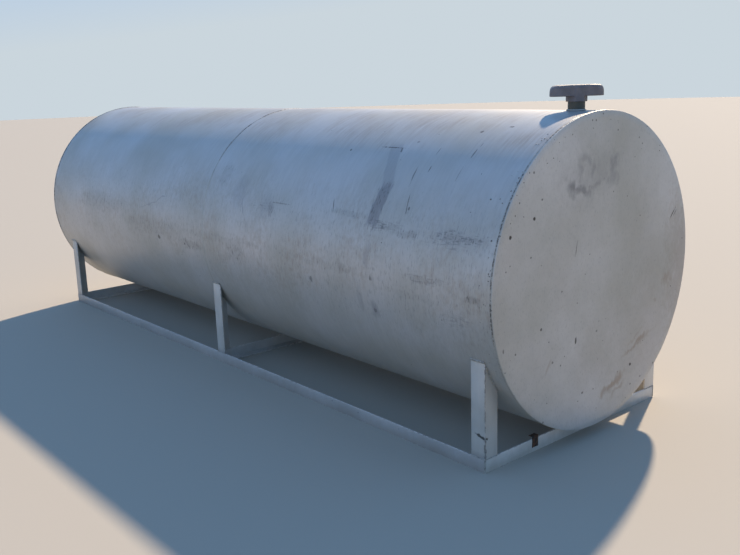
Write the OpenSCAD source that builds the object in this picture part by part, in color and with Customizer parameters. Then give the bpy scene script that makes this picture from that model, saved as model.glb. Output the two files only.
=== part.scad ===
// Horizontal storage tank on a skid frame of steel angle.
// X runs along the tank towards the vent end, -Y is the front side, Z is up.
// The origin is on the ground, under the middle of the tank. Lengths are in millimetres.

/* [Tank] */
// Outside diameter of the rolled shell
shell_d = 1150; // [1080:10:1400]
// Length of the shell, which is two plate widths
shell_l = 3658; // [3000:2:4800]
// Place of the girth seam, from the middle of the tank
girth_x = 12; // [-60:1:60]
// Thickness of the shell plate
shell_t = 4.8; // [3.6:0.2:8]
// Thickness of the flat head plates
head_t = 4.8; // [3:0.2:8]
// How far the head plate's edge stands proud of the shell
head_lip = 1.5; // [0.5:0.1:4]

/* [Skid frame] */
// Distance of the skid's near end behind the shell's near end
near_inset = 69; // [20:1:300]
// Distance of the skid's far end behind the shell's far end
far_inset = 103; // [20:1:300]
// Distance of the front rail's face inside the shell's widest line
front_inset = 46; // [40:1:120]
// Distance of the rear rail's face inside the shell's widest line
rear_inset = 69; // [40:1:120]
// Leg of the rail angle
rail_leg = 50.8; // [40:0.1:65]
// Thickness of the rail angle
rail_t = 6.4; // [4:0.1:8]
// Leg of the post angle
post_leg = 63.5; // [50:0.1:80]
// Thickness of the post angle
post_t = 6.4; // [4:0.1:8]
// Radius in the root of the rolled angles
root_r = 5; // [2:0.5:8]
// Corner of the middle posts, from the middle of the tank
middle_x = 4; // [-200:1:200]

/* [Vent] */
// Distance from the near end of the shell to the vent's axis
vent_inset = 112; // [100:1:400]
// Outside diameter of the pipe nipple
nipple_d = 60.3; // [48.3:0.1:64]
// Wall of the pipe nipple
nipple_t = 3.9; // [2.8:0.1:6]
// Length of nipple that shows between the shell and the vent
nipple_show = 30; // [20:1:80]
// Depth of the nipple in the vent's socket
socket_depth = 17; // [12:1:18]
// Width of the vent's hub across its flats
hub_w = 70; // [68:0.5:90]
// Chamfer on the hub's upright corners
hub_chamfer = 20.5; // [4:0.5:22]
// Height of the hub
hub_h = 50; // [40:1:70]
// Length of the vent over its two outlets
vent_l = 194; // [180:1:260]
// Width of the vent's arms
arm_w = 66; // [60:1:69]
// Height of the arms
arm_h = 40; // [34:1:50]
// Height of the arms' lower edge above the hub's foot
arm_drop = 19; // [18:1:28]
// Radius of the arms' upper edges at their ends
end_r = 24; // [12:1:28]
// Radius of the arms' upper edges along their sides
edge_r = 8; // [7:0.5:14]
// Wall of the casting
cast_t = 5; // [4:0.5:6]
// Turn of the arms in plan, from the tank's axis
vent_turn = 55; // [0:5:90]
// Height of the cast rim that the air rises over inside the vent
weir_h = 17; // [10:1:22]
// Thickness of the outlet screens
screen_t = 1.6; // [1:0.2:3]
// Width of the screens' rims
screen_rim = 2.5; // [1.5:0.1:4]
// Width of the screens' wires
wire_w = 1.2; // [0.8:0.1:2]
// Spacing of the screen's meshes
mesh_pitch = 7; // [5:0.5:12]

/* [Welds and fittings] */
// Radius of the head weld beads
head_bead_r = 4.5; // [4:0.1:8]
// Distance of the head beads' centre behind the head plate
head_bead_back = 3; // [1:0.5:4]
// How far the head beads stand proud of the shell
head_bead_proud = 2.6; // [1:0.1:4]
// Radius of the girth and long seam beads
seam_bead_r = 5; // [3.5:0.5:7]
// How far the girth and long seam beads stand proud of the shell
seam_proud = 1.8; // [1:0.1:2.5]
// Radius of the fillet beads at the posts and the nipple
fillet_r = 5; // [3:0.5:7]
// Radius of the small beads between rails and posts
foot_bead_r = 3.5; // [2.5:0.5:5]
// Width of the strap stub on the near end rail
strap_w = 32; // [15:1:40]
// Thickness of the strap stub
strap_t = 3; // [2:0.5:5]
// Length that the strap stub hangs down the rail's face
strap_hang = 32; // [20:1:38]
// Height that the strap stub stands above the rail
strap_rise = 8; // [4:1:12]
// Length of the strap stub's bent end
strap_lip = 16; // [10:1:30]
// Place of the strap stub from the skid's front corner
strap_y = 250; // [120:1:400]

/* [Hidden] */

$fn = 48;
round_fn = 720;
bead_fn = 48;
// Flats round the section of a ring bead or a long bead
bead_flats = 12;
// Clearance at a curved seat
fit = 0.3;
// Reach of a cutting solid past what it cuts
over = 1;
// Gap between the two beads at a post's corner
bead_gap = 1;
shell_r = shell_d / 2;
bore_r = shell_r - shell_t;
end_x = shell_l / 2;
// The shell rests on the cross members' upper edges
axis_z = rail_leg + fit + shell_r;
top_z = axis_z + shell_r;
near_x = end_x - near_inset;
far_x = end_x - far_inset;
front_y = shell_r - front_inset;
rear_y = shell_r - rear_inset;
skid_l = near_x + far_x;
skid_w = front_y + rear_y;
// Depth of the rails' mitres, which is past their legs
mitre = rail_leg + over;
// Corner lines of the posts, and the way along X that their legs turn
post_lines = [[near_x, -1], [middle_x, 1], [-far_x, 1]];
// Depth of the small beads' centres behind the faces that they run along
foot_sink = foot_bead_r / 2;
vent_x = end_x - vent_inset;
hub_z = top_z + nipple_show;
arm_z = hub_z + arm_drop;
// Growth of a chamfer on a square corner whose faces move out by one
chamfer_growth = 2 - sqrt(2);
// Long seams lie on the rear side, staggered from course to course
seam_angles = [40, 15];
throat_d = nipple_d - 2 * nipple_t;

steel = "#a8abae";
weld_steel = "#7f8184";
cast_grey = "#5f6068";
rust = "#4a2f25";

// Round bar, tube and ring solids along the tank's axis

module along_x(length, radius, sides = round_fn) {
    rotate([0, 90, 0]) cylinder(h = length, r = radius, $fn = sides);
}

// Room that the shell takes up, with its clearance
module shell_space() {
    translate([-end_x - over, 0, axis_z]) along_x(shell_l + 2 * over, shell_r + fit);
}

// Ring about the tank's axis, or an arc of one from an angle off the bottom line.
// It is turned from a section that has its radius along X.
module ring_at(x, start = 0, sweep = 360) {
    translate([x, 0, axis_z]) rotate([0, 90, 0]) rotate([0, 0, start])
        rotate_extrude(angle = sweep, $fn = round_fn) children();
}

// Section of a round bead above a seat, which is measured along X as the bead's centre is
module bead_section(centre, bead_r, seat) {
    intersection() {
        translate([centre, 0]) circle(r = bead_r, $fn = bead_flats);
        translate([seat, -bead_r]) square(2 * bead_r);
    }
}

// Tank

module shell_course(from_x, to_x, with_hole) {
    length = to_x - from_x;
    color(steel) difference() {
        translate([from_x, 0, axis_z]) along_x(length, shell_r);
        translate([from_x - over, 0, axis_z]) along_x(length + 2 * over, bore_r);
        if (with_hole)
            translate([vent_x, 0, axis_z]) cylinder(h = shell_r + over, r = nipple_d / 2 + fit);
    }
}

module head_plate(x) {
    color(steel) translate([x, 0, axis_z]) along_x(head_t, shell_r + head_lip);
}

// Bead on the shell behind the head plate's edge
module head_weld(side) {
    centre = shell_r + head_bead_proud - head_bead_r;
    color(weld_steel) mirror([side < 0 ? 1 : 0, 0, 0]) ring_at(end_x - head_bead_back)
        difference() {
            bead_section(centre, head_bead_r, shell_r + fit);
            translate([shell_r, head_bead_back - fit]) square(2 * head_bead_r);
        }
}

module seam_section() {
    bead_section(shell_r + seam_proud - seam_bead_r, seam_bead_r, shell_r + fit);
}

// Angle about the tank's axis, off the bottom line, of a point on the shell
function side_angle(y) = asin(y / shell_r);

// The girth seam's bead stops on both sides of a post's head that stands on it
module girth_weld() {
    covered = middle_x < girth_x + seam_bead_r && middle_x + post_leg > girth_x - seam_bead_r;
    front_in = side_angle(front_y - post_leg - fit);
    rear_in = side_angle(rear_y - post_leg - fit);
    front_out = side_angle(front_y + fillet_r);
    rear_out = side_angle(rear_y + fillet_r);
    color(weld_steel) if (covered) {
        ring_at(girth_x, -front_in, front_in + rear_in) seam_section();
        ring_at(girth_x, rear_out, 360 - rear_out - front_out) seam_section();
    } else {
        ring_at(girth_x) seam_section();
    }
}

module seam_weld(from_x, to_x, angle) {
    translate([from_x + seam_bead_r, 0, axis_z]) rotate([angle, 0, 0]) rotate([90, 0, 90])
        linear_extrude(to_x - from_x - 2 * seam_bead_r) seam_section();
}

module course_seam_welds() {
    color(weld_steel) {
        seam_weld(girth_x, end_x - head_bead_back, seam_angles[0]);
        seam_weld(-end_x + head_bead_back, girth_x, seam_angles[1]);
    }
}

// Rolled angle with its corner at the origin and its legs along +X and +Y

module angle_section(leg, thick) {
    square([leg, thick]);
    square([thick, leg]);
    difference() {
        square(thick + root_r);
        translate([thick + root_r, thick + root_r]) circle(r = root_r);
    }
}

// Rail from mitre to mitre, with its outer corner along X and its legs along Y and Z
module rail_solid(length) {
    intersection() {
        rotate([90, 0, 90]) linear_extrude(length) angle_section(rail_leg, rail_t);
        translate([0, 0, -over]) linear_extrude(rail_leg + 2 * over)
            polygon([[0, 0], [length, 0], [length - mitre, mitre], [mitre, mitre]]);
    }
}

module front_rail_solid() {
    translate([-far_x, -front_y, 0]) rail_solid(skid_l);
}

module rear_rail_solid() {
    translate([-far_x, rear_y, 0]) mirror([0, 1, 0]) rail_solid(skid_l);
}

module front_rail() {
    color(steel) front_rail_solid();
}

module rear_rail() {
    color(steel) rear_rail_solid();
}

module near_end_rail() {
    color(steel) translate([near_x, -front_y, 0]) rotate([0, 0, 90]) rail_solid(skid_w);
}

module far_end_rail() {
    color(steel) translate([-far_x, rear_y, 0]) rotate([0, 0, -90]) rail_solid(skid_w);
}

module middle_cross_member() {
    color(steel) difference() {
        translate([middle_x, rear_y - rail_t, 0]) rotate([90, 0, 0])
            linear_extrude(skid_w - 2 * rail_t) angle_section(rail_leg, rail_t);
        front_rail_solid();
        rear_rail_solid();
    }
}

// Post on the rails, coped to the shell, on one of the post lines. Its corner is at y.
module post(line, y) {
    color(steel) difference() {
        translate([line[0], y, rail_leg]) mirror([line[1] < 0 ? 1 : 0, 0, 0])
            mirror([0, y > 0 ? 1 : 0, 0])
                linear_extrude(axis_z - rail_leg) angle_section(post_leg, post_t);
        shell_space();
    }
}

module near_front_post() {
    post(post_lines[0], -front_y);
}

module near_rear_post() {
    post(post_lines[0], rear_y);
}

module middle_front_post() {
    post(post_lines[1], -front_y);
}

module middle_rear_post() {
    post(post_lines[1], rear_y);
}

module far_front_post() {
    post(post_lines[2], -front_y);
}

module far_rear_post() {
    post(post_lines[2], rear_y);
}

// Height where the shell's underside meets an upright at a distance y from the middle
function cope_z(y) = axis_z - sqrt(pow(shell_r, 2) - pow(y, 2));

// Where a post's leg along X starts
function leg_start(line) = line[1] < 0 ? line[0] - post_leg : line[0];

// Fillet on the outside of a post's two legs, where they meet the shell
module post_head_weld(line, y) {
    off = abs(y);
    from_a = side_angle(off - post_leg);
    to_a = side_angle(off - fillet_r - bead_gap);
    leg_x = leg_start(line);
    mirror([0, y > 0 ? 1 : 0, 0]) {
        difference() {
            translate([leg_x, -off, cope_z(off)]) along_x(post_leg, fillet_r, bead_fn);
            translate([leg_x - over, -off, 0]) cube([post_leg + 2 * over, off, axis_z]);
            shell_space();
        }
        difference() {
            ring_at(line[0], -to_a, to_a - from_a)
                translate([shell_r, 0]) circle(r = fillet_r, $fn = bead_fn);
            translate([leg_x, -off - over, 0]) cube([post_leg, off, axis_z]);
            shell_space();
        }
    }
}

module post_head_welds() {
    color(weld_steel) for (line = post_lines) for (y = [-front_y, rear_y])
        post_head_weld(line, y);
}

// Room between the outer faces of the rails and posts
module skid_space() {
    translate([-far_x, -front_y, -over]) cube([skid_l, skid_w, axis_z]);
}

// Bead along the outside of a post's foot
module post_foot_weld(line, y) {
    difference() {
        union() {
            translate([leg_start(line), y - sign(y) * foot_sink, rail_leg])
                along_x(post_leg, foot_bead_r, bead_fn);
            translate([line[0] + line[1] * foot_sink, y - sign(y) * post_leg / 2, rail_leg])
                rotate([90, 0, 0])
                    cylinder(h = post_leg, r = foot_bead_r, center = true, $fn = bead_fn);
        }
        skid_space();
    }
}

module post_foot_welds() {
    color(weld_steel) for (line = post_lines) for (y = [-front_y, rear_y])
        post_foot_weld(line, y);
}

// Upright bead on each corner of the skid
module rail_corner_welds() {
    color(weld_steel) for (x = [near_x, -far_x]) for (y = [-front_y, rear_y])
        difference() {
            translate([x - sign(x) * foot_sink, y - sign(y) * foot_sink, foot_bead_r])
                cylinder(h = rail_leg - 2 * foot_bead_r, r = foot_bead_r, $fn = bead_fn);
            skid_space();
        }
}

// Vent

module vent_nipple() {
    color(cast_grey) translate([vent_x, 0, axis_z + bore_r]) difference() {
        cylinder(h = shell_t + nipple_show + socket_depth, r = nipple_d / 2);
        translate([0, 0, -over])
            cylinder(h = shell_t + nipple_show + socket_depth + 2 * over, r = throat_d / 2);
    }
}

module vent_nipple_weld() {
    color(weld_steel) difference() {
        translate([vent_x, 0, top_z]) rotate_extrude()
            translate([nipple_d / 2, 0]) circle(r = fillet_r, $fn = bead_fn);
        shell_space();
        translate([vent_x, 0, axis_z]) cylinder(h = shell_r + nipple_show, r = nipple_d / 2 + fit);
    }
}

// Upright outline with rounded upper corners
module arch_section(width, height, corner_r) {
    reach = width / 2 - corner_r;
    translate([-width / 2, 0]) square([width, height - corner_r]);
    translate([-reach, 0]) square([2 * reach, height]);
    for (side = [1, -1]) translate([side * reach, height - corner_r]) circle(r = corner_r);
}

// Long body with round ends and rounded upper edges, standing on its open side.
// thin is what its wall takes off all its radii.
module crowned_bar(length, width, height, thin) {
    reach = (length - width) / 2;
    intersection() {
        linear_extrude(height) {
            square([2 * reach, width], center = true);
            for (end = [1, -1]) translate([end * reach, 0]) circle(r = width / 2);
        }
        rotate([90, 0, 0]) linear_extrude(width + 2 * over, center = true)
            arch_section(length, height, end_r - thin);
        rotate([90, 0, 90]) linear_extrude(length + 2 * over, center = true)
            arch_section(width, height, edge_r - thin);
    }
}

// Section of the hub, with its faces moved out by grow
module hub_section(grow = 0) {
    half = hub_w / 2 + grow;
    flat = half - hub_chamfer - chamfer_growth * grow;
    polygon([[half, -flat], [half, flat], [flat, half], [-flat, half],
        [-half, flat], [-half, -flat], [-flat, -half], [flat, -half]]);
}

module vent_body() {
    color(cast_grey) translate([vent_x, 0, hub_z]) rotate([0, 0, vent_turn]) difference() {
        union() {
            linear_extrude(hub_h) hub_section();
            translate([0, 0, arm_drop]) crowned_bar(vent_l, arm_w, arm_h, 0);
        }
        difference() {
            translate([0, 0, arm_drop - over])
                crowned_bar(vent_l - 2 * cast_t, arm_w - 2 * cast_t, arm_h - cast_t + over,
                    cast_t);
            cylinder(h = arm_drop + weir_h, r = arm_w / 2);
            linear_extrude(arm_drop) hub_section();
        }
        translate([0, 0, -over]) cylinder(h = socket_depth + over, r = nipple_d / 2 + fit);
        translate([0, 0, -over]) cylinder(h = arm_drop + weir_h + 2 * over, r = throat_d / 2);
    }
}

// Outline of one outlet, inside the skirt and clear of the hub
module outlet_section(inset) {
    reach = (vent_l - arm_w) / 2;
    difference() {
        union() {
            translate([0, -arm_w / 2 + cast_t + inset])
                square([reach, arm_w - 2 * (cast_t + inset)]);
            translate([reach, 0]) circle(r = arm_w / 2 - cast_t - inset);
        }
        circle(r = arm_w / 2 + inset);
        hub_section(inset);
    }
}

module outlet_screen() {
    meshes = floor(vent_l / mesh_pitch / 2);
    linear_extrude(screen_t) {
        difference() {
            outlet_section(fit);
            outlet_section(fit + screen_rim);
        }
        intersection() {
            outlet_section(fit);
            union() {
                for (i = [0 : meshes]) translate([i * mesh_pitch, -arm_w / 2])
                    square([wire_w, arm_w]);
                for (i = [-meshes : meshes]) translate([0, i * mesh_pitch - wire_w / 2])
                    square([vent_l / 2, wire_w]);
            }
        }
    }
}

module vent_screens() {
    color(weld_steel) translate([vent_x, 0, arm_z]) rotate([0, 0, vent_turn])
        for (turn = [0, 180]) rotate([0, 0, turn]) outlet_screen();
}

// Stub of a strap bent over the near end rail
module strap_stub() {
    color(rust) translate([near_x, -front_y + strap_y, rail_leg]) {
        translate([0, 0, -strap_hang]) cube([strap_t, strap_w, strap_hang + strap_rise]);
        translate([-strap_lip, 0, strap_rise]) cube([strap_lip + strap_t, strap_w, strap_t]);
    }
}

shell_course(girth_x, end_x, true);  // near_shell_course
shell_course(-end_x, girth_x, false);  // far_shell_course
head_plate(end_x);  // near_head
head_plate(-end_x - head_t);  // far_head
girth_weld();
head_weld(1);  // near_head_weld
head_weld(-1);  // far_head_weld
course_seam_welds();
front_rail();
rear_rail();
near_end_rail();
far_end_rail();
middle_cross_member();
near_front_post();
near_rear_post();
middle_front_post();
middle_rear_post();
far_front_post();
far_rear_post();
post_head_welds();
post_foot_welds();
rail_corner_welds();
vent_nipple();
vent_nipple_weld();
vent_body();
vent_screens();
strap_stub();
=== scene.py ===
import math
import random

import bpy
from bpy.props import FloatProperty, FloatVectorProperty, IntProperty, PointerProperty
from mathutils import Matrix, Vector


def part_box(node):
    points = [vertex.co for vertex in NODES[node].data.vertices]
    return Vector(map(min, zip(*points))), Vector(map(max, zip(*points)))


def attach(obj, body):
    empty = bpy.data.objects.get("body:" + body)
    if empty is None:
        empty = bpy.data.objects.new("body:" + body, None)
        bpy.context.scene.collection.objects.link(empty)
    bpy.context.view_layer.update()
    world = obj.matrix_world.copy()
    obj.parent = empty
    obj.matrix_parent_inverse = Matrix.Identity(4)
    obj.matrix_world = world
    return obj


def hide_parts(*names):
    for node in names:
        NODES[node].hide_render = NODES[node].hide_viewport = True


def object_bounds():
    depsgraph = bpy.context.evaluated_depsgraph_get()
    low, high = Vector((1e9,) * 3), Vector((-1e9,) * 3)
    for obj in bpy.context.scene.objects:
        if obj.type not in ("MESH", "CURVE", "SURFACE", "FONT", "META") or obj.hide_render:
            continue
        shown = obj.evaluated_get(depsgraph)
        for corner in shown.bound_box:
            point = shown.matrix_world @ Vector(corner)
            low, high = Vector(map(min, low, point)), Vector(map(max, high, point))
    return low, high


bl_info = {
    "name": "Horizontal storage tank",
    "version": (1, 0, 0),
    "blender": (4, 5, 0),
    "location": "3D View > Sidebar > Tank",
    "description": "Dresses the packed frame of a flat-headed storage tank on a skid",
    "category": "Object",
}

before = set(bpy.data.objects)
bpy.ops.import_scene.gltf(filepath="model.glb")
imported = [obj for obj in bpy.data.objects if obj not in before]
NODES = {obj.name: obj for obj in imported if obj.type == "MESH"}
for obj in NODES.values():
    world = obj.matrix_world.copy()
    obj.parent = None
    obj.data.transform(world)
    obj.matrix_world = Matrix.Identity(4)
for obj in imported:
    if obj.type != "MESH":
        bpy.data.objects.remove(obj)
CAD_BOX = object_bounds()

SHELL_LOW, SHELL_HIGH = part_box("near_shell_course")
SHELL_R = (SHELL_HIGH.z - SHELL_LOW.z) / 2
AXIS_Z = (SHELL_HIGH.z + SHELL_LOW.z) / 2
SHELL_END = SHELL_HIGH.x
GIRTH_X = SHELL_LOW.x
HEAD_LOW, HEAD_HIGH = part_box("near_head")
HEAD_R = (HEAD_HIGH.z - HEAD_LOW.z) / 2
HEAD_T = HEAD_HIGH.x - HEAD_LOW.x
HEAD_FACE = HEAD_HIGH.x
NIPPLE_LOW, NIPPLE_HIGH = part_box("vent_nipple")
VENT_X = (NIPPLE_LOW.x + NIPPLE_HIGH.x) / 2
NIPPLE_R = (NIPPLE_HIGH.x - NIPPLE_LOW.x) / 2
RAIL_LOW, RAIL_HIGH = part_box("front_rail")
FRONT_Y = RAIL_LOW.y
SKID_END = RAIL_HIGH.x

RAILS = ("front_rail", "rear_rail", "near_end_rail", "far_end_rail", "middle_cross_member")
POSTS = ("near_front_post", "near_rear_post", "middle_front_post", "middle_rear_post",
         "far_front_post", "far_rear_post")
SMALL_BEADS = ("post_head_welds", "post_foot_welds", "rail_corner_welds",
               "vent_nipple_weld")


def linear(code):
    """The linear RGBA values of an sRGB hex colour."""
    parts = [int(code[i:i + 2], 16) / 255 for i in (1, 3, 5)]
    return tuple(c / 12.92 if c <= 0.04045 else ((c + 0.055) / 1.055) ** 2.4
                 for c in parts) + (1.0,)


def colour(name, description, code):
    """A colour setting with its default from an sRGB hex value."""
    return FloatVectorProperty(name=name, description=description, subtype="COLOR", size=4,
                               min=0, max=1, default=linear(code))


def length(name, description, default):
    """A length setting in metres."""
    return FloatProperty(name=name, description=description, default=default, min=0,
                         unit="LENGTH", precision=4)


class TankForm(bpy.types.PropertyGroup):
    """Sizes of what the frame's plain solids leave out"""
    round_sides: IntProperty(name="Round sides", description="Sides of the tank's circles",
                             default=256, min=48, max=512)
    plate_thickness: length("Plate thickness", "Thickness of the shell plate", 0.0048)
    plate_wave: length("Plate waves", "Height of the waves in the rolled plate", 0.0016)
    plate_wave_size: length("Size of plate waves", "Distance between the waves", 0.32)
    waist: length("Waist", "How far the girth seam draws the plate in", 0.0012)
    waist_reach: length("Waist reach", "How far from the girth seam it does", 0.09)
    head_belly: length("Head belly", "How far the flat heads belly outwards", 0.0025)
    head_wave: length("Head waves", "Height of the waves in the head plates", 0.002)
    head_wave_size: length("Size of head waves", "Distance between the waves", 0.45)
    head_edge: length("Head edge", "Rounding of the head plates' edges", 0.001)
    head_bead: length("Head bead", "Radius of the head weld's bead", 0.0045)
    seam_bead: length("Seam bead", "Radius of the girth seam's bead", 0.005)
    seam_proud: length("Seam height", "How far the girth bead stands proud", 0.0006)
    bead_lumps: length("Bead lumps", "Height of the lumps in a weld bead", 0.0016)
    ripple_pitch: length("Ripple pitch", "Distance between the ripples of a bead", 0.009)
    rolled_edge: length("Rolled edge", "Rounding of the angles' edges", 0.0011)
    bead_voxel: length("Bead voxel", "Fineness of the small beads' meshes", 0.0011)
    cast_voxel: length("Casting voxel", "Fineness of the casting's mesh", 0.0017)
    end_rounding: IntProperty(name="End rounding",
                              description="Softening of the vent's ends",
                              default=180, min=0, max=400)
    sand_grain: length("Sand grain", "Height of the casting's sand texture", 0.0005)
    strap_voxel: length("Strap voxel", "Fineness of the strap's mesh", 0.0009)
    corrosion: length("Corrosion", "Height of the strap's corroded surface", 0.002)
    spatter: IntProperty(name="Spatter", description="Drops of spatter at the near head",
                         default=90, min=0, max=400)


class TankFinish(bpy.types.PropertyGroup):
    """Colours of the finishes"""
    paint: colour("Aluminium paint", "Clean weathered aluminium paint", "#bfbfc0")
    paint_dull: colour("Dull paint", "Paint gone chalky and slightly warm", "#aeada8")
    frame_paint: colour("Frame paint", "Brighter paint of the rails and posts", "#d8d7d6")
    runs: colour("Runs", "Grey of the rain runs and smudges", "#85848a")
    scuff: colour("Scuffs", "Rubbed paint", "#76777a")
    # This dark colour also paints shadow: the line along the top of the girth bead and the
    # line cast by a small wrinkle in the shell plate
    soot_and_shadow: colour("Chips", "Dark primer and mill scale in chips and specks", "#2f2b2a")
    rust: colour("Rust", "Brown rust on bare steel", "#5b3d2c")
    dust: colour("Dust", "Sandy dust near the ground", "#8f8373")
    cast: colour("Cast iron", "Thin grey paint over cast iron", "#767276")
    pipe: colour("Pipe", "Dark bare pipe", "#57544a")
    stain: colour("Stain", "Brown water stains", "#8d7b6b")


class TankStage(bpy.types.PropertyGroup):
    """Floor, light and camera"""
    floor: colour("Floor", "Pale floor", "#b8a786")
    backdrop: colour("Backdrop floor", "Floor as the camera and reflections see it",
                     "#aea79c")
    horizon: colour("Horizon", "Background at the horizon", "#d6e2ea")
    mid_sky: colour("Middle sky", "Background between horizon and zenith", "#8dc4ff")
    zenith: colour("Zenith", "Background overhead", "#83acdf")
    sky: FloatProperty(name="Sky", description="Strength of the background's light",
                       default=0.88, min=0, max=10)
    key_tint: colour("Key tint", "Colour of the soft key light", "#ffe9cc")
    key: FloatProperty(name="Key light", description="Strength of the soft key light",
                       default=6.0, min=0, max=20)
    fill: FloatProperty(name="Fill light", description="Power of the soft light in front",
                        default=74, min=0, max=1000, unit="POWER")
    fill_tint: colour("Fill tint", "Colour of the soft light in front", "#f8f6fb")
    key_softness: FloatProperty(name="Key softness", description="Angle that the key fills",
                                default=math.radians(2), min=0, max=math.pi,
                                subtype="ANGLE")


class TankSettings(bpy.types.PropertyGroup):
    """All settings of the tank"""
    form: PointerProperty(type=TankForm)
    finish: PointerProperty(type=TankFinish)
    stage: PointerProperty(type=TankStage)


# Modelling helpers

SAME_PLACE = 0.00001
SAME_PLANE = math.radians(0.3)


def begin():
    """Object mode with nothing selected, so that an operator acts only on what follows."""
    if bpy.context.object and bpy.context.object.mode != "OBJECT":
        bpy.ops.object.mode_set(mode="OBJECT")
    bpy.ops.object.select_all(action="DESELECT")


def made(name):
    """The primitive that was just added, under its own name, with its place in its mesh."""
    piece = bpy.context.object
    piece.name = name
    bpy.ops.object.transform_apply(location=True, rotation=True, scale=True)
    return piece


def pick(piece, kind, test):
    """Selects what passes the test, and leaves the piece in edit mode."""
    bpy.ops.object.mode_set(mode="EDIT")
    bpy.ops.mesh.select_mode(type=kind)
    bpy.ops.mesh.select_all(action="DESELECT")
    bpy.ops.object.mode_set(mode="OBJECT")
    items = {"VERT": piece.data.vertices, "EDGE": piece.data.edges,
             "FACE": piece.data.polygons}[kind]
    for item in items:
        item.select = test(item)
    bpy.ops.object.mode_set(mode="EDIT")


def modify(piece, kind, **settings):
    """Adds a modifier and applies it."""
    bpy.context.view_layer.objects.active = piece
    modifier = piece.modifiers.new(kind.title(), kind)
    for key, value in settings.items():
        setattr(modifier, key, value)
    bpy.ops.object.modifier_apply(modifier=modifier.name)


def clouds(size, depth=2):
    """A procedural cloud pattern for displacement."""
    pattern = bpy.data.textures.new("clouds", "CLOUDS")
    pattern.noise_scale = size
    pattern.noise_depth = depth
    return pattern


def weigh(piece, weight):
    """A vertex group that holds each vertex's weight, for a modifier to follow."""
    group = piece.vertex_groups.new(name="free")
    for vertex in piece.data.vertices:
        group.add([vertex.index], weight(vertex.co), "REPLACE")
    return group.name


def smooth(piece, angle=35):
    """Smooth shading with the edges over the angle left sharp."""
    bpy.context.view_layer.objects.active = piece
    piece.select_set(True)
    bpy.ops.object.shade_smooth_by_angle(angle=math.radians(angle))


def finish_piece(piece, nodes):
    """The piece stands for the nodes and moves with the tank."""
    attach(piece, "root")
    if nodes:
        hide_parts(*nodes)


def copy_node(node, name, *materials):
    """A copy of a CAD node's mesh, to be finished by modifiers: its loose triangles are
    welded and those that lie flat together become one face."""
    begin()
    piece = bpy.data.objects.new(name, NODES[node].data.copy())
    bpy.context.scene.collection.objects.link(piece)
    bpy.context.view_layer.objects.active = piece
    piece.select_set(True)
    bpy.ops.mesh.customdata_custom_splitnormals_clear()
    piece.data.materials.clear()
    for material in materials:
        piece.data.materials.append(material)
    pick(piece, "VERT", lambda vertex: True)
    bpy.ops.mesh.remove_doubles(threshold=SAME_PLACE)
    bpy.ops.mesh.dissolve_limited(angle_limit=SAME_PLANE)
    bpy.ops.object.mode_set(mode="OBJECT")
    return piece


# Materials

def add(tree, kind, links, **settings):
    """Adds a shader node. Each entry of links is an input with its source socket or its
    value."""
    node = tree.nodes.new("ShaderNode" + kind)
    for key, value in settings.items():
        setattr(node, key, value)
    for key, value in links.items():
        if isinstance(value, bpy.types.NodeSocket):
            tree.links.new(value, node.inputs[key])
        else:
            node.inputs[key].default_value = value
    return node


def start_material(name):
    """An empty material tree and its object coordinates."""
    material = bpy.data.materials.new(name)
    material.use_nodes = True
    tree = material.node_tree
    tree.nodes.clear()
    return material, tree, add(tree, "TexCoord", {}).outputs["Object"]


def surface(tree, links):
    """Ends a material's tree with its shader, made from these inputs."""
    shader = add(tree, "BsdfPrincipled", links)
    add(tree, "OutputMaterial", {"Surface": shader.outputs[0]})


def noise(tree, place, scale, low, high, detail=3.0):
    """Noise stretched by a scale in features per metre, cut to a mask between two
    levels."""
    fitted = add(tree, "Mapping", {"Vector": place, "Scale": scale})
    cells = add(tree, "TexNoise", {"Vector": fitted.outputs[0], "Scale": 1.0,
                                   "Detail": detail, "Roughness": 0.55})
    return add(tree, "MapRange", {"Value": cells.outputs["Fac"], "From Min": low,
                                  "From Max": high}).outputs[0]


def frayed(tree, place, scale, reach):
    """Noise about zero that frays the edges of patches, as far as its reach."""
    rough = noise(tree, place, scale, 0.0, 1.0, 5.0)
    return add(tree, "MapRange", {"Value": rough, "To Min": -reach,
                                  "To Max": reach}).outputs[0]


def fade(tree, place, axis, none, full):
    """Mask that grows along an axis, from nothing at one place to full at another."""
    along = add(tree, "SeparateXYZ", {"Vector": place}).outputs[axis]
    return add(tree, "MapRange", {"Value": along, "From Min": none,
                                  "From Max": full}).outputs[0]


def times(tree, product, *masks):
    """The product of masks and numbers."""
    for mask in masks:
        product = add(tree, "Math", {0: product, 1: mask}, operation="MULTIPLY").outputs[0]
    return product


def strongest(tree, top, *masks):
    """The strongest of the masks at each place."""
    for mask in masks:
        top = add(tree, "Math", {0: top, 1: mask}, operation="MAXIMUM").outputs[0]
    return top


def coated(tree, tone, *coats):
    """A tone with coats laid over it in order, each a mask and a colour. Inputs 6 and 7
    of a Mix node are its colours."""
    for mask, above in coats:
        tone = add(tree, "Mix", {0: mask, 6: tone, 7: tuple(above)},
                   data_type="RGBA").outputs[2]
    return tone


def grain(tree, place, scale, detail, strength, depth):
    """Bumps of a grain, in grains per metre and metres of depth."""
    grit = add(tree, "TexNoise", {"Vector": place, "Scale": scale, "Detail": detail})
    return add(tree, "Bump", {"Height": grit.outputs["Fac"], "Strength": strength,
                              "Distance": depth}).outputs[0]


def warped(tree, place, scale, reach):
    """Coordinates pushed about by noise, so that the marks laid out in them bend."""
    push = add(tree, "TexNoise", {"Vector": place, "Scale": scale, "Detail": 2.0})
    centred = add(tree, "VectorMath", {0: push.outputs["Color"], 1: (0.5, 0.5, 0.5)},
                  operation="SUBTRACT")
    return add(tree, "VectorMath", {0: centred.outputs[0], 1: (reach, reach, reach),
                                    2: place}, operation="MULTIPLY_ADD").outputs[0]


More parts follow.
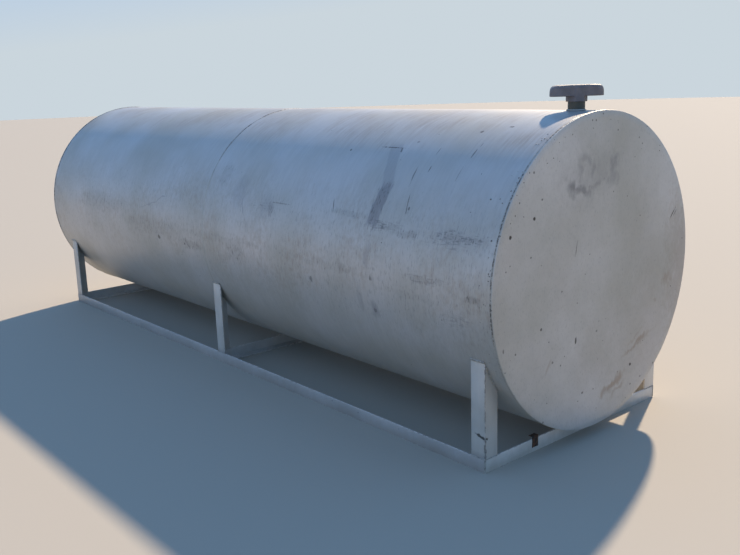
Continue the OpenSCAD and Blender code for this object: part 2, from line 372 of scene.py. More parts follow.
def patches(tree, place, ragged, spots, soft=0.25, square=False):
    """Mask of patches, round or with straight sides. Each spot has a centre, a turn, half
    sizes and a strength, and soft is the share of its size over which its edge fades."""
    rim = 1.05
    mask = 0.0
    for centre, turn, half, strength in spots:
        local = add(tree, "Mapping", {"Vector": place, "Location": centre, "Rotation": turn,
                                      "Scale": half}, vector_type="TEXTURE")
        if square:
            sides = add(tree, "VectorMath", {0: local.outputs[0]}, operation="ABSOLUTE")
            sides = add(tree, "SeparateXYZ", {"Vector": sides.outputs[0]})
            reach = strongest(tree, *sides.outputs)
        else:
            reach = add(tree, "VectorMath", {0: local.outputs[0]},
                        operation="LENGTH").outputs["Value"]
        rough = add(tree, "Math", {0: reach, 1: ragged}, operation="ADD")
        spot = add(tree, "MapRange", {"Value": rough.outputs[0], "From Min": rim + soft,
                                      "From Max": rim - soft, "To Max": strength})
        mask = strongest(tree, mask, spot.outputs[0])
    return mask


def specks(tree, place, cell, radius, share):
    """Mask of small round specks, one in a share of the cells of that size."""
    cells = add(tree, "TexVoronoi", {"Vector": place, "Scale": 1 / cell})
    chosen = add(tree, "SeparateColor", {"Color": cells.outputs["Color"]})
    kept = add(tree, "Math", {0: chosen.outputs[0], 1: share}, operation="LESS_THAN")
    size = times(tree, chosen.outputs[1], radius / cell)
    inside = add(tree, "Math", {0: cells.outputs["Distance"], 1: size},
                 operation="LESS_THAN")
    return times(tree, kept.outputs[0], inside.outputs[0])


def weathered(tree, place, fresh, finish):
    """Tone of brushed paint that drifts to its chalky grey every 0.4 m or so, in blotches
    of 80 mm, and the mask of that drift."""
    drift = noise(tree, place, (2.6, 2.6, 2.6), 0.35, 0.68)
    blotch = noise(tree, place, (13.0, 13.0, 13.0), 0.3, 0.7, 4.0)
    tone = coated(tree, tuple(fresh), (drift, finish.paint_dull),
                  (times(tree, blotch, 0.16), finish.paint_dull))
    return tone, drift


def leafing_paint(tree, place, tone, dark, drift, metal, grooves):
    """Shader of aluminium paint: broad soft gloss from its flakes, dull where it is dark.
    The real flakes are too fine to show, so these are 4 mm apart."""
    metallic = add(tree, "MapRange", {"Value": dark, "To Min": metal, "To Max": 0.0})
    gloss = add(tree, "MapRange", {"Value": drift, "To Min": 0.4, "To Max": 0.48})
    flake = add(tree, "TexNoise", {"Vector": place, "Scale": 260.0, "Detail": 2.0})
    coarse = add(tree, "Bump", {"Height": grooves, "Strength": 0.14, "Distance": 0.0015})
    fine = add(tree, "Bump", {"Height": flake.outputs["Fac"], "Strength": 0.25,
                              "Distance": 0.0006, "Normal": coarse.outputs[0]})
    surface(tree, {"Base Color": tone, "Metallic": metallic.outputs[0],
                   "Roughness": gloss.outputs[0], "Normal": fine.outputs[0]})


def shell_paint(name, finish):
    """Aluminium paint on the rolled shell: upright brown streaks over the top that fade out
    by
    1.04 m, and a band lower down of fine upright dashes and brown mottle. Rubbed marks and
    chips lie over it."""
    material, tree, place = start_material(name)
    tone, drift = weathered(tree, place, finish.paint, finish)
    # The lower band of dashes and brown mottle: full from 0.55 m to 0.8 m, gone below 0.3 m
    # and above 1.0 m
    belly = times(tree, fade(tree, place, "Z", 1.0, 0.8),
                  fade(tree, place, "Z", 0.3, 0.55))
    cloudy = noise(tree, place, (4.5, 4.5, 4.5), 0.4, 0.6)
    # Streaks of 10 by 110 mm, mottle of 17 by 28 mm and dashes of 4 by 20 mm, all upright
    streak = noise(tree, place, (95.0, 9.0, 9.0), 0.3, 0.7, 5.0)
    mottle = noise(tree, place, (60.0, 36.0, 36.0), 0.42, 0.66, 5.0)
    dash = noise(tree, place, (230.0, 50.0, 50.0), 0.55, 0.7, 3.0)
    # Brown upright streaks over the top, from nothing at 1.04 m to full above 1.12 m
    crown = times(tree, fade(tree, place, "Z", 1.04, 1.12), streak, 0.45, cloudy)
    ragged = frayed(tree, place, (120.0, 26.0, 26.0), 1.3)
    broken = add(tree, "MapRange", {"Value": dash, "From Max": 0.8, "To Min": 0.3})
    bent = warped(tree, place, 14.0, 0.05)
    rubbed = times(tree, patches(tree, bent, ragged, SHELL_SCUFFS), broken.outputs[0])
    smudged = patches(tree, bent, times(tree, ragged, 0.6), SHELL_SMUDGES, 0.4)
    banded = patches(tree, place, times(tree, ragged, 0.2), SHELL_BANDS, 0.12, True)
    # Feathers of 30 by 7 mm along the tank
    along = noise(tree, place, (34.0, 150.0, 150.0), 0.5, 0.62, 4.0)
    feathered = times(tree, patches(tree, bent, ragged, SHELL_FEATHERS, 0.4), along)
    # Dark specks and chips, with the painted shadow line of a small wrinkle in the plate
    dark = strongest(tree, specks(tree, place, 0.028, 0.0026, 0.1),
                     patches(tree, place, ragged, SHELL_CHIPS_AND_WRINKLE_SHADOW))
    tone = coated(tree, tone,
                  (times(tree, streak, 0.18), finish.runs),
                  (times(tree, mottle, belly, cloudy, 0.3), finish.stain),
                  (times(tree, dash, belly, 0.5), finish.scuff),
                  (crown, finish.stain),
                  (strongest(tree, smudged, banded), finish.runs),
                  (feathered, finish.scuff),
                  (rubbed, finish.soot_and_shadow),
                  (times(tree, dark, 0.85), finish.soot_and_shadow))
    leafing_paint(tree, place, tone, dark, drift, 0.3, streak)
    return material


def head_paint(name, finish):
    """Aluminium paint on the flat heads: smooth, softly mottled, with fine specks, a grey
    smear and thin brown stains."""
    material, tree, place = start_material(name)
    tone, drift = weathered(tree, place, finish.paint, finish)
    # Mottle of 33 mm, fine marks of 6 by 12 mm and warm clouds of 0.3 m
    mottle = noise(tree, place, (30.0, 30.0, 30.0), 0.4, 0.7, 4.0)
    fine = noise(tree, place, (170.0, 170.0, 80.0), 0.56, 0.7, 3.0)
    warm = noise(tree, place, (3.4, 3.4, 3.4), 0.45, 0.65)
    ragged = frayed(tree, place, (60.0, 60.0, 36.0), 1.2)
    bent = warped(tree, place, 13.0, 0.09)
    dark = strongest(tree, specks(tree, place, 0.03, 0.0026, 0.16),
                     patches(tree, place, ragged, HEAD_CHIPS),
                     times(tree, specks(tree, place, 0.022, 0.0052, 0.3), 0.65))
    tone = coated(tree, tone,
                  (times(tree, mottle, 0.1), finish.runs),
                  (times(tree, warm, 0.08), finish.stain),
                  (times(tree, fine, 0.26), finish.scuff),
                  (patches(tree, bent, ragged, HEAD_STAINS, 0.6), finish.stain),
                  (patches(tree, bent, ragged, HEAD_SMEARS, 0.75), finish.scuff),
                  (dark, finish.soot_and_shadow))
    leafing_paint(tree, place, tone, dark, drift, 0.28, mottle)
    return material


def frame_paint(name, finish):
    """Brighter aluminium paint on rolled angle: chipped, darker grey on the front rail's
    outer face and dusty near the ground."""
    material, tree, place = start_material(name)
    tone, drift = weathered(tree, place, finish.frame_paint, finish)
    # Upright streaks of 17 by 70 mm, and a coat of dust in clouds of 36 mm
    streak = noise(tree, place, (60.0, 60.0, 14.0), 0.35, 0.7, 4.0)
    coat = noise(tree, place, (28.0, 28.0, 28.0), 0.2, 0.6)
    ragged = frayed(tree, place, (90.0, 90.0, 60.0), 1.3)
    dark = strongest(tree, specks(tree, place, 0.024, 0.003, 0.12),
                     patches(tree, place, ragged, POST_GOUGE_AND_RIDGE_LINE))
    dust = times(tree, fade(tree, place, "Z", 0.1, 0.0), coat, 0.3)
    # The front rail's outer face is laid over with the runs' grey at half strength, up to
    # 55 mm and gone by 75 mm
    dull = times(tree, fade(tree, place, "Y", FRONT_Y + 0.004, FRONT_Y + 0.001),
                 fade(tree, place, "Z", 0.075, 0.055), 0.5)
    tone = coated(tree, tone,
                  (times(tree, streak, 0.1), finish.runs),
                  (times(tree, dark, 0.9), finish.soot_and_shadow),
                  (dull, finish.runs),
                  (dust, finish.dust))
    leafing_paint(tree, place, tone, strongest(tree, dark, dust), drift, 0.16, streak)
    return material


def worn_edge_paint(name, finish):
    """Aluminium paint rubbed off an edge: bright paint broken by brown rust, in grains of
    17 mm over stretches of 0.25 m."""
    material, tree, place = start_material(name)
    broken = noise(tree, place, (60.0, 60.0, 60.0), 0.5, 0.56, 4.0)
    patchy = noise(tree, place, (4.0, 4.0, 4.0), 0.4, 0.6)
    rusted = times(tree, broken, patchy)
    tone = coated(tree, tuple(finish.frame_paint),
                  (times(tree, rusted, 0.8), finish.rust))
    metallic = add(tree, "MapRange", {"Value": rusted, "To Min": 0.5, "To Max": 0.0})
    rough = add(tree, "MapRange", {"Value": rusted, "To Min": 0.4, "To Max": 0.8})
    surface(tree, {"Base Color": tone, "Metallic": metallic.outputs[0],
                   "Roughness": rough.outputs[0]})
    return material


def painted_weld(name, finish, dirt_and_shadow, lowest):
    """Weld metal under thin aluminium paint: lumpy, with a 2 mm grain, and dark patches of
    noise at a given share from a height upwards: soiling on the frame's beads, a painted
    shadow line along the top of the girth bead, and a darker line on the head beads from
    0.3 m up."""
    material, tree, place = start_material(name)
    fine_patches = noise(tree, place, (110.0, 110.0, 110.0), 0.36, 0.58, 4.0)
    broad_patches = noise(tree, place, (9.0, 9.0, 9.0), 0.36, 0.54)
    fade_height = 0.25
    # Dark patches from the given height up. On the girth bead they are painted shadow.
    dirt_and_shadow_mask = times(tree, fine_patches, broad_patches,
                  fade(tree, place, "Z", lowest, lowest + fade_height))
    tone = coated(tree, tuple(finish.paint_dull), (times(tree, dirt_and_shadow_mask, dirt_and_shadow), finish.soot_and_shadow))
    metallic = add(tree, "MapRange", {"Value": dirt_and_shadow_mask, "To Min": 0.35, "To Max": 0.0})
    surface(tree, {"Base Color": tone, "Metallic": metallic.outputs[0], "Roughness": 0.5,
                   "Normal": grain(tree, place, 500.0, 2.0, 0.5, 0.0005)})
    return material


def dull_iron(name, fresh, finish):
    """Iron under thin paint or bare: dull, with a 2 mm grain, paler on faces that point up.
    """
    material, tree, place = start_material(name)
    patchy = noise(tree, place, (35.0, 35.0, 35.0), 0.35, 0.65)
    facing = add(tree, "NewGeometry", {}).outputs["Normal"]
    faces_up = times(tree, fade(tree, facing, "Z", 0.5, 1.0), 0.35)
    tone = coated(tree, tuple(fresh), (times(tree, patchy, 0.25), finish.soot_and_shadow),
                  (faces_up, finish.paint_dull))
    surface(tree, {"Base Color": tone, "Metallic": 0.2, "Roughness": 0.6,
                   "Normal": grain(tree, place, 450.0, 3.0, 0.6, 0.0008)})
    return material


def rusty_steel(name, finish):
    """Bare strap steel left to the weather: dull brown, near-black scale in flakes of
    11 mm and a 3 mm grain."""
    material, tree, place = start_material(name)
    scale = noise(tree, place, (90.0, 90.0, 90.0), 0.42, 0.62, 5.0)
    tone = coated(tree, tuple(finish.rust), (scale, finish.soot_and_shadow))
    surface(tree, {"Base Color": tone, "Metallic": 0.1, "Roughness": 0.85,
                   "Normal": grain(tree, place, 350.0, 4.0, 0.8, 0.001)})
    return material


def shell_spot(x, angle, along, around, lean, strength):
    """A patch on the front of the shell, at an angle from its top line. A positive lean
    lifts its end towards the near head."""
    a = math.radians(angle)
    centre = (x, -SHELL_R * math.sin(a), AXIS_Z + SHELL_R * math.cos(a))
    turn = Matrix.Rotation(a, 3, "X") @ Matrix.Rotation(math.radians(lean), 3, "Z")
    return centre, tuple(turn.to_euler()), (along, around, 0.05), strength


def head_spot(y, z, across, up, turn, strength):
    """A patch on the near head, turned in the plane of the head."""
    return (HEAD_FACE, y, z), (math.radians(turn), 0.0, 0.0), (0.05, across, up), strength


# Marks on the shell: place along the tank, angle from the top, half sizes along and
# around, lean, strength. Scuffs are broken into dashes, smudges are soft, chips are dark,
# feathers are fine lines along the tank and bands have straight sides. Two of the chips
# are painted shadow: the line and hook that a small wrinkle in the plate casts.
SHELL_SCUFFS = [shell_spot(*mark) for mark in (
    (1.226, 63.5, 0.03, 0.085, -8.0, 0.55),
    (1.66, 71.8, 0.1, 0.012, 2.0, 0.4),
    (1.523, 87.2, 0.09, 0.012, 0.0, 0.35),
    (1.75, 91.0, 0.038, 0.013, -3.0, 0.6),
    (1.28, 71.0, 0.075, 0.012, 0.0, 0.5),
    (1.41, 72.6, 0.06, 0.011, 0.0, 0.5),
    (1.06, 68.4, 0.1, 0.009, 0.0, 0.35),
    (1.061, 88.4, 0.03, 0.02, 0.0, 0.5),
    (0.56, 71.0, 0.016, 0.034, 0.0, 0.5),
    (0.137, 58.5, 0.04, 0.05, 0.0, 0.35),
    (0.3, 92.0, 0.07, 0.05, 0.0, 0.4),
    (-0.1, 95.0, 0.09, 0.02, 0.0, 0.6),
    (-1.12, 82.0, 0.28, 0.05, 0.0, 0.35),
    (-0.5, 90.0, 0.3, 0.04, 0.0, 0.3),
    (0.2, 88.6, 0.38, 0.014, 0.6, 0.22),
    (0.9, 89.6, 0.34, 0.012, -1.0, 0.2),
    (1.44, 94.0, 0.16, 0.012, -1.0, 0.2),
)]
SHELL_FEATHERS = [shell_spot(*mark) for mark in (
    (1.655, 71.6, 0.12, 0.022, 2.0, 0.75),
    (1.6, 73.8, 0.09, 0.02, 2.0, 0.45),
    (1.28, 71.0, 0.08, 0.016, 0.0, 0.6),
    (0.48, 70.5, 0.07, 0.018, 0.0, 0.45),
    (1.523, 87.2, 0.1, 0.018, 0.0, 0.35),
    (1.675, 99.0, 0.05, 0.03, 0.0, 0.35),
)]
SHELL_BANDS = [shell_spot(*mark) for mark in (
    (1.199, 47.0, 0.026, 0.1, 23.0, 0.34),
    (1.228, 63.2, 0.028, 0.082, -8.0, 0.6),
)]
SHELL_SMUDGES = [shell_spot(*mark) for mark in (
    (1.218, 82.5, 0.014, 0.045, 0.0, 0.3),
    (1.168, 100.5, 0.012, 0.05, 5.0, 0.25),
    (1.242, 103.3, 0.016, 0.03, 0.0, 0.5),
    (1.66, 72.3, 0.11, 0.03, 0.0, 0.15),
    (0.53, 70.5, 0.045, 0.045, 0.0, 0.25),
    (-0.47, 76.5, 0.13, 0.003, 18.0, 0.5),
    (0.34, 72.5, 0.003, 0.045, 20.0, 0.6),
    (0.3, 66.0, 0.05, 0.06, 0.0, 0.25),
)]
SHELL_CHIPS_AND_WRINKLE_SHADOW = [shell_spot(*mark) for mark in (
    (1.509, 27.3, 0.011, 0.006, 0.0, 0.85),
    (1.615, 23.2, 0.009, 0.005, 0.0, 0.85),
    (0.912, 41.2, 0.006, 0.005, 0.0, 0.9),
    (1.253, 34.8, 0.006, 0.005, 0.0, 0.6),
    (1.392, 63.6, 0.005, 0.006, 0.0, 0.7),
    (1.407, 47.4, 0.003, 0.013, 0.0, 0.9),
    (1.345, 50.5, 0.003, 0.034, 4.0, 0.65),
    (1.556, 49.3, 0.002, 0.03, 0.0, 0.5),
    (1.391, 39.0, 0.002, 0.016, 0.0, 0.6),
    (1.564, 39.4, 0.0025, 0.02, 0.0, 0.7),
    (1.568, 34.8, 0.002, 0.012, 0.0, 0.6),
    (1.378, 62.5, 0.0022, 0.042, 9.0, 0.75),
    (0.974, 66.5, 0.002, 0.025, 17.0, 0.75),
    # Painted shadow, not chips: the dark line and hook cast by a small wrinkle in the plate
    (1.147, 38.6, 0.052, 0.0022, 0.0, 0.95),
    (1.2, 39.6, 0.004, 0.012, 25.0, 0.8),
    (1.237, 91.0, 0.006, 0.009, 0.0, 0.6),
    (0.863, 97.0, 0.008, 0.012, 0.0, 0.6),
    (-0.437, 95.0, 0.014, 0.009, 0.0, 0.85),
    (-0.17, 95.4, 0.006, 0.006, 0.0, 0.8),
    (0.62, 68.5, 0.055, 0.0025, 0.0, 0.45),
    (1.244, 103.5, 0.006, 0.008, 0.0, 0.5),
)]
# Marks on the near head: place across and up, half sizes, turn, strength
HEAD_SMEARS = [head_spot(*mark) for mark in (
    (-0.14, 1.005, 0.017, 0.05, 8.0, 0.5),
    (-0.108, 1.042, 0.034, 0.015, -8.0, 0.45),
    (-0.062, 1.012, 0.014, 0.034, 0.0, 0.5),
    (-0.172, 0.94, 0.02, 0.028, 25.0, 0.85),
    (-0.12, 0.938, 0.055, 0.015, 8.0, 0.75),
    (-0.04, 0.952, 0.05, 0.015, 10.0, 0.5),
    (0.062, 1.0, 0.022, 0.05, 0.0, 0.55),
    (0.04, 0.956, 0.016, 0.028, -50.0, 0.5),
    (-0.024, 1.0, 0.012, 0.044, 0.0, 0.3),
    (-0.06, 0.985, 0.14, 0.065, 12.0, 0.22),
    (0.0, 0.98, 0.03, 0.03, 30.0, 0.3),
)]
HEAD_STAINS = [head_spot(*mark) for mark in (
    (0.258, 0.31, 0.08, 0.012, 24.0, 0.62),
    (0.24, 0.345, 0.05, 0.006, 30.0, 0.35),
    (0.105, 0.186, 0.06, 0.013, 27.0, 0.62),
    (0.13, 0.165, 0.04, 0.006, 30.0, 0.4),
    (0.05, 0.16, 0.022, 0.013, 25.0, 0.5),
    (0.444, 0.535, 0.03, 0.034, 20.0, 0.5),
    (0.364, 0.459, 0.012, 0.01, 20.0, 0.4),
    (-0.288, 0.335, 0.02, 0.006, 30.0, 0.35),
    (0.3, 0.36, 0.24, 0.2, 20.0, 0.13),
    (0.54, 0.57, 0.09, 0.26, 0.0, 0.36),
)]
HEAD_CHIPS = [head_spot(*mark) for mark in (
    (-0.373, 0.872, 0.0055, 0.0055, 0.0, 1.0),
    (-0.491, 0.826, 0.0055, 0.006, 0.0, 1.0),
    (-0.333, 0.93, 0.004, 0.004, 0.0, 0.8),
    (-0.388, 0.745, 0.004, 0.004, 0.0, 0.7),
    (-0.144, 0.741, 0.0018, 0.026, -10.0, 0.7),
    (-0.138, 0.405, 0.004, 0.011, -10.0, 0.9),
    (0.211, 0.233, 0.006, 0.006, 0.0, 0.95),
    (-0.332, 0.488, 0.004, 0.004, 0.0, 0.8),
    (0.47, 0.79, 0.02, 0.0022, 46.0, 0.95),
    (0.482, 0.786, 0.018, 0.002, 46.0, 0.7),
    (-0.014, 0.415, 0.005, 0.004, 0.0, 0.5),
    (-0.091, 0.198, 0.006, 0.004, 0.0, 0.7),
    (-0.267, 0.355, 0.004, 0.004, 0.0, 0.6),
    (-0.523, 0.454, 0.004, 0.009, 0.0, 0.7),
)]
# Gouge in the near front post's front face, and dark marks down its ridge
POST_GOUGE_AND_RIDGE_LINE = (
    ((SKID_END - 0.02, FRONT_Y, 0.131), (0.0, math.radians(14), 0.0),
     (0.024, 0.03, 0.005), 1.0),
    ((SKID_END, FRONT_Y, 0.085), (0.0, 0.0, 0.0), (0.005, 0.006, 0.05), 0.95),
    ((SKID_END, FRONT_Y, 0.25), (0.0, 0.0, 0.0), (0.0026, 0.0034, 0.15), 0.75),
)


def finishes(settings):
    """All materials by name, made once."""
    if "silver_shell_paint" not in bpy.data.materials:
        finish = settings.finish
        shell_paint("silver_shell_paint", finish)
        head_paint("silver_head_paint", finish)
        frame_paint("silver_frame_paint", finish)
        worn_edge_paint("worn_edge_paint", finish)
        painted_weld("painted_weld", finish, 0.85, 0.3)
        # The girth bead is darkened above 0.9 m: a painted shadow line along its top,
        # broken into dots
        painted_weld("painted_girth_weld_and_shadow", finish, 1.0, 0.9)
        painted_weld("painted_frame_weld", finish, 0.5, -0.25)
        dull_iron("painted_casting", finish.cast, finish)
        dull_iron("bare_pipe", finish.pipe, finish)
        rusty_steel("rusty_strap_steel", finish)
    return bpy.data.materials


# Pieces

def span(piece, edge):
    """The vector along an edge."""
    start, end = (piece.data.vertices[index].co for index in edge.vertices)
    return end - start


def roughen(piece, size, height, depth=2, **reach):
    """Pushes the surface in and out by a cloud pattern of that size."""
    modify(piece, "DISPLACE", texture=clouds(size, depth), texture_coords="GLOBAL",
           strength=height, **reach)


def remesh(piece, voxel, rounds):
    """The piece on an even mesh, with its corners eased by some rounds of smoothing."""
    modify(piece, "REMESH", mode="VOXEL", voxel_size=voxel)
    modify(piece, "SMOOTH", factor=0.5, iterations=rounds)


class TANK_OT_shell(bpy.types.Operator):
    """Roll the two shell courses, with the slight waves of the plate and its draw-in at the
    girth seam
    """
    bl_idname = "tank.shell"
    bl_label = "Shell courses"

    def execute(self, context):
        form = context.scene.tank.form
        paint = finishes(context.scene.tank)["silver_shell_paint"]
        # The beads hold the plate flat beside the seams
        held = 0.12
        for node in ("near_shell_course", "far_shell_course"):
            low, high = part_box(node)
            width = high.x - low.x
            begin()
            bpy.ops.mesh.primitive_cylinder_add(
                vertices=form.round_sides, radius=SHELL_R, depth=width,
                end_fill_type="NOTHING", location=((low.x + high.x) / 2, 0, AXIS_Z),
                rotation=(0, math.pi / 2, 0))
            plate = made(node.replace("course", "plate"))
            ends = (low.x, high.x)
            pick(plate, "EDGE", lambda e: abs(span(plate, e).x) > width / 2)
            bpy.ops.mesh.subdivide(number_cuts=72)
            bpy.ops.object.mode_set(mode="OBJECT")
            free = weigh(plate, lambda p: min(1, min(abs(p.x - e) for e in ends) / held))
            roughen(plate, form.plate_wave_size, form.plate_wave, vertex_group=free)
            drawn = weigh(plate, lambda p: max(0, 1 - abs(p.x - GIRTH_X)
                                               / form.waist_reach) ** 1.5)
            modify(plate, "DISPLACE", strength=-form.waist, mid_level=0, vertex_group=drawn)
            modify(plate, "SOLIDIFY", thickness=form.plate_thickness, offset=-1)
            if low.x < VENT_X < high.x:
                # Turned a little, so that no corner of the hole falls on a mesh line
                begin()
                bpy.ops.mesh.primitive_cylinder_add(
                    vertices=64, radius=NIPPLE_R + 0.0003, depth=0.1,
                    location=(VENT_X, 0, AXIS_Z + SHELL_R), rotation=(0, 0, 0.04))
                drill = made("drill")
                modify(plate, "BOOLEAN", operation="DIFFERENCE", object=drill,
                       solver="EXACT")
                bpy.data.objects.remove(drill)
            plate.data.materials.append(paint)
            smooth(plate)
            finish_piece(plate, [node])
        return {"FINISHED"}


class TANK_OT_heads(bpy.types.Operator):
    """Cut the two flat head plates, with a slight belly"""
    bl_idname = "tank.heads"
    bl_label = "Head plates"

    def execute(self, context):
        form = context.scene.tank.form
        paint = finishes(context.scene.tank)["silver_head_paint"]
        rings = 22
        for side, node in ((1, "near_head"), (-1, "far_head")):
            begin()
            bpy.ops.mesh.primitive_circle_add(
                vertices=form.round_sides, radius=HEAD_R, fill_type="NGON",
                location=(side * HEAD_FACE, 0, AXIS_Z), rotation=(0, side * math.pi / 2, 0))
            plate = made(node + "_plate")
            pick(plate, "FACE", lambda face: True)
            for _ in range(rings):
                bpy.ops.mesh.inset(thickness=HEAD_R / (rings + 1))
            bpy.ops.object.mode_set(mode="OBJECT")
            free = weigh(plate, lambda p: 1 - (Vector((0, p.y, p.z - AXIS_Z)).length
                                               / HEAD_R) ** 4)
            roughen(plate, form.head_wave_size, form.head_wave, vertex_group=free)
            modify(plate, "DISPLACE", strength=form.head_belly, mid_level=0,
                   vertex_group=free)
            modify(plate, "SOLIDIFY", thickness=HEAD_T, offset=-1)
            modify(plate, "BEVEL", width=form.head_edge, segments=2, limit_method="ANGLE",
                   angle_limit=math.radians(50))
            plate.data.materials.append(paint)
            smooth(plate)
            finish_piece(plate, [node])
        return {"FINISHED"}


def ring_bead(name, x, centre_r, bead_r, form, weld):
    """A weld bead round the tank: a torus with ripples and lumps. A torus has 256 parts at
    most, so its long edges are cut again for the ripples."""
    ripple, ripple_mean, ripple_slant = 0.12, 0.6, 40
    begin()
    bpy.ops.mesh.primitive_torus_add(
        location=(x, 0, AXIS_Z), rotation=(0, math.pi / 2, 0), major_segments=256,
        minor_segments=12, major_radius=centre_r, minor_radius=bead_r)
    bead = made(name)
    pick(bead, "EDGE", lambda e: span(bead, e).length > 1.5 * bead_r)
    bpy.ops.mesh.subdivide(number_cuts=4)
    bpy.ops.object.mode_set(mode="OBJECT")
    count = round(2 * math.pi * centre_r / form.ripple_pitch)
    for vertex in bead.data.vertices:
        p = Vector((0, vertex.co.y, vertex.co.z - AXIS_Z))
        middle = p.normalized() * centre_r
        across = Vector((vertex.co.x - x, p.y - middle.y, p.z - middle.z))
        turn = math.atan2(p.y, p.z) * count / 2
        grown = 1 + ripple * (abs(math.cos(turn + ripple_slant * across.x)) - ripple_mean)
        vertex.co = Vector((x, middle.y, middle.z + AXIS_Z)) + across * grown
    for lump in (0.011, 0.05):
        roughen(bead, lump, form.bead_lumps, 1)
    bead.data.materials.append(finishes(bpy.context.scene.tank)[weld])
    smooth(bead, 60)
    return bead


class TANK_OT_ring_beads(bpy.types.Operator):
    """Lay the weld beads round the girth and the two heads"""
    bl_idname = "tank.ring_beads"
    bl_label = "Ring beads"

    def execute(self, context):
        form = context.scene.tank.form
        # The head beads lie a little inside the shell's end
        inset = 0.003
        for side, node in ((1, "near_head_weld"), (-1, "far_head_weld")):
            low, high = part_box(node)
            bead = ring_bead(node + "_bead", side * (SHELL_END - inset),
                             (high.z - low.z) / 2 - form.head_bead, form.head_bead, form,
                             "painted_weld")
            finish_piece(bead, [node])
        bead = ring_bead("girth_weld_bead", GIRTH_X,
                         SHELL_R + form.seam_proud - form.seam_bead, form.seam_bead, form,
                         "painted_girth_weld_and_shadow")
        finish_piece(bead, ["girth_weld"])
        return {"FINISHED"}


class TANK_OT_small_beads(bpy.types.Operator):
    """Roughen the long seams' beads and the beads of the posts, rails and vent"""
    bl_idname = "tank.small_beads"
    bl_label = "Long and small beads"

    def execute(self, context):
        form = context.scene.tank.form
        weld = finishes(context.scene.tank)["painted_frame_weld"]
        for node in SMALL_BEADS + ("course_seam_welds",):
            bead = copy_node(node, node + "_rough", weld)
            # The long seams lie on the rear and get a coarser mesh
            coarser = 1.6 if node == "course_seam_welds" else 1
            remesh(bead, form.bead_voxel * coarser, 4)
            roughen(bead, 0.009, form.bead_lumps, 1)
            smooth(bead, 70)
            finish_piece(bead, [node])
        return {"FINISHED"}


class TANK_OT_skid(bpy.types.Operator):
    """Roll the angles of the skid and the posts, with rounded and worn edges"""
    bl_idname = "tank.skid"
    bl_label = "Skid and posts"

    def execute(self, context):
        form = context.scene.tank.form
        materials = finishes(context.scene.tank)
        for node in RAILS + POSTS:
            angle = copy_node(node, node + "_angle", materials["silver_frame_paint"],
                              materials["worn_edge_paint"])
            modify(angle, "BEVEL", width=form.rolled_edge, segments=2,
                   limit_method="ANGLE", angle_limit=math.radians(40), material=1)
            smooth(angle)
            finish_piece(angle, [node])
        return {"FINISHED"}


class TANK_OT_vent(bpy.types.Operator):
    """Cast the vent and finish its nipple and screens"""
    bl_idname = "tank.vent"
    bl_label = "Vent"

    def execute(self, context):
        form = context.scene.tank.form
        materials = finishes(context.scene.tank)
        casting = copy_node("vent_body", "vent_casting", materials["painted_casting"])
        remesh(casting, form.cast_voxel, 3)
        low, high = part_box("vent_body")
        reach, rise = (high.y - low.y) / 2, (high.z - low.z) / 2

        def arm_end(p):
            """How much of an upper arm's end a point is, from 0 at the hub to 1."""
            out = 3 * (math.hypot(p.x - VENT_X, p.y) / reach - 0.55)
            up = (p.z - low.z) / rise - 0.8
            return min(1, max(0, out)) * min(1, max(0, up))

        modify(casting, "SMOOTH", factor=0.5, iterations=form.end_rounding,
               vertex_group=weigh(casting, arm_end))
        roughen(casting, 0.006, form.sand_grain, 1)
        smooth(casting, 60)
        finish_piece(casting, ["vent_body"])
        for node, name in (("vent_nipple", "bare_pipe"),
                           ("vent_screens", "painted_weld")):
            NODES[node].data.materials.clear()
            NODES[node].data.materials.append(materials[name])
        return {"FINISHED"}


class TANK_OT_strap(bpy.types.Operator):
    """Corrode the stub of strap on the near end rail"""
    bl_idname = "tank.strap"
    bl_label = "Strap stub"

    def execute(self, context):
        form = context.scene.tank.form
        rust = finishes(context.scene.tank)["rusty_strap_steel"]
        strap = copy_node("strap_stub", "rusty_strap", rust)
        remesh(strap, form.strap_voxel, 3)
        roughen(strap, 0.008, form.corrosion)
        smooth(strap, 60)
        finish_piece(strap, ["strap_stub"])
        return {"FINISHED"}


class TANK_OT_spatter(bpy.types.Operator):
    """Drop weld spatter on the shell beside the near head's bead"""
    bl_idname = "tank.spatter"
    bl_label = "Weld spatter"

    def execute(self, context):
        draw = random.Random(11)
        # The drops lie up to 120 degrees from the top, most of them close to the bead
        widest, nearest, scattered, flat = 120, 0.008, 0.022, 0.55
        drops = []
        for _ in range(context.scene.tank.form.spatter):
            angle = math.radians(draw.uniform(-widest, widest))
            radius = draw.uniform(0.0012, 0.003)
            x = SHELL_END - nearest - abs(draw.gauss(0, scattered))
            begin()
            bpy.ops.mesh.primitive_ico_sphere_add(
                subdivisions=2, radius=radius, rotation=(angle, 0, 0),
                location=(x, -SHELL_R * math.sin(angle),
                          AXIS_Z + SHELL_R * math.cos(angle)))
            drop = bpy.context.object
            drop.scale = (draw.uniform(0.7, 1.3), draw.uniform(0.7, 1.3), flat)
            drops.append(made("spatter_drop"))
        begin()
        for drop in drops:
            drop.select_set(True)
        bpy.context.view_layer.objects.active = drops[0]
        bpy.ops.object.join()
        spatter = drops[0]
        spatter.name = "near_head_spatter"
        spatter.data.materials.append(finishes(context.scene.tank)["painted_weld"])
        smooth(spatter, 60)
        finish_piece(spatter, [])
        return {"FINISHED"}


# Where the camera stood for the photograph, from its fit to the tank's outlines
CAMERA_PLACE = (3.6126, -2.5772, 1.332)
CAMERA_YAW = 49.875
CAMERA_PITCH = 12.92
CAMERA_ROLL = -1.874
CAMERA_LENS = 42.083
CAMERA_SENSOR = 36
KEY_FROM = (-0.5, 1.142, 1.0)
# The sky is bluest overhead and in front of the tank, away from the key
SKY_TILT = (0.0, -0.12, 1.0)
FILL_PLACE = (-0.5, -9.0, 2.4)
FILL_SIZE = (14.0, 2.4)
FLOOR_R = 40.0


